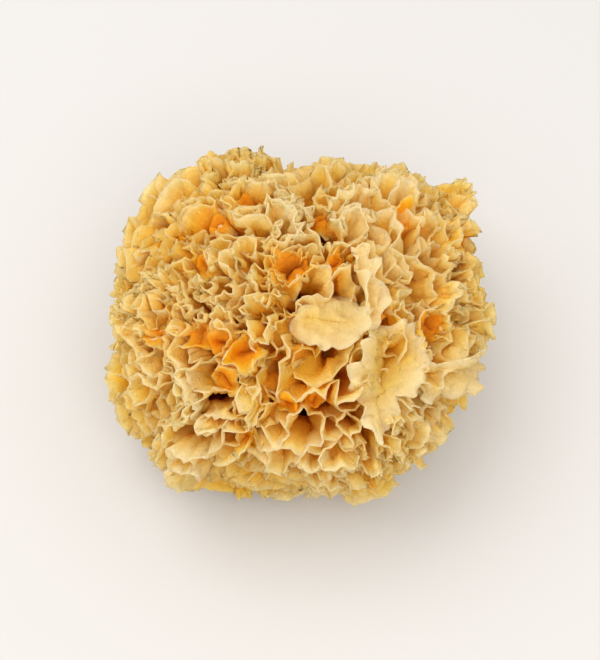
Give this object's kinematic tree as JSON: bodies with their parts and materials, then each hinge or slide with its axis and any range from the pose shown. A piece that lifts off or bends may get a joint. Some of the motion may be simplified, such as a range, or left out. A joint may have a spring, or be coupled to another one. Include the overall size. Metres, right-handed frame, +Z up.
{
  "type": "dried snow fungus",
  "caption": "Dried snow fungus head: ruffled golden fronds crowded round a tough base that is cut off flat underneath.",
  "frame": {"origin": "middle of the flat cut face that the head rests on", "axes": "+Z up, away from the cut face; +X the head's wide side; -Y the side that the picture shows in front"},
  "size_m": [0.085, 0.0815, 0.0547],
  "materials": {
    "frond": "matt, translucent",
    "base": "matt, rough cut"
  },
  "bodies": {
    "root": {"base": "base", "frond_01": "frond", "frond_02": "frond", "frond_03": "frond", "frond_04": "frond", "frond_05": "frond", "frond_06": "frond", "frond_07": "frond", "frond_08": "frond", "frond_09": "frond", "frond_10": "frond", "frond_11": "frond", "frond_12": "frond", "frond_13": "frond", "frond_14": "frond", "frond_15": "frond"}
  },
  "joints": []
}
